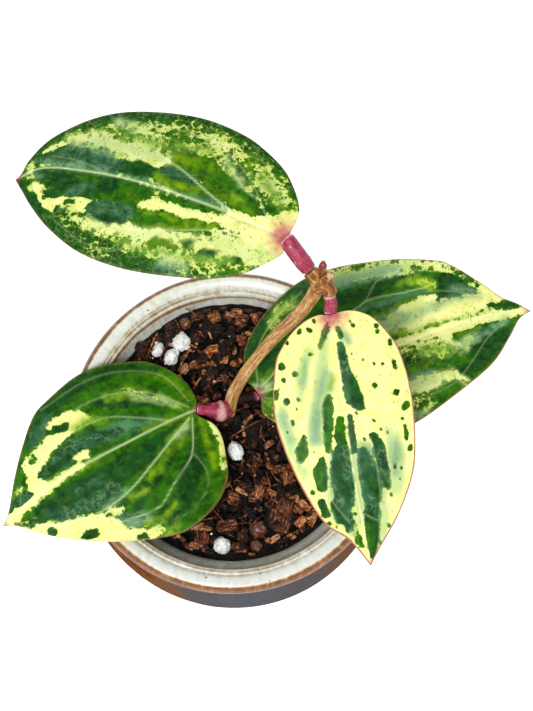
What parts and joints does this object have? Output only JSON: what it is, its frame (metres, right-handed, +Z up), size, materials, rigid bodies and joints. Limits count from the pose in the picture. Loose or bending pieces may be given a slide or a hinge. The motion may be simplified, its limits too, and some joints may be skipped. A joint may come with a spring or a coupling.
{
  "type": "potted hoya",
  "caption": "Young hoya with broad leathery cream and green leaves on a leaning woody stem, in a small round glazed pot of bark mix.",
  "frame": {"origin": "centre of the pot's foot, on the surface it stands on", "axes": "+Z up along the pot's axis; the hanging pale leaf points to -Y, and the two long leaves run along X"},
  "size_m": [0.1774, 0.1498, 0.1434],
  "materials": {
    "glaze": "glossy cream and grey glaze that breaks to brown on its edges",
    "bark": "dark damp bark chips",
    "perlite": "matt white grains",
    "clay": "damp brown fired clay",
    "wood": "tan woody stem with lengthwise streaks",
    "bud": "dark red waxy bud",
    "petiole": "pink waxy leaf stalk",
    "leaf": "waxy green leaf with cream patches",
    "pale_leaf": "waxy cream leaf with green patches"
  },
  "bodies": {
    "root": {"pot": "glaze", "potting_mix": "bark", "perlite_1": "perlite", "perlite_2": "perlite", "perlite_3": "perlite", "perlite_4": "perlite", "perlite_5": "perlite", "clay_ball_1": "clay", "clay_ball_2": "clay", "clay_ball_3": "clay", "stem": "wood", "bud": "bud", "petiole_a": "petiole", "petiole_b": "petiole", "petiole_c": "petiole", "petiole_d": "petiole", "leaf_a": "leaf", "leaf_b": "leaf", "leaf_c": "pale_leaf", "leaf_d": "leaf"}
  },
  "joints": []
}
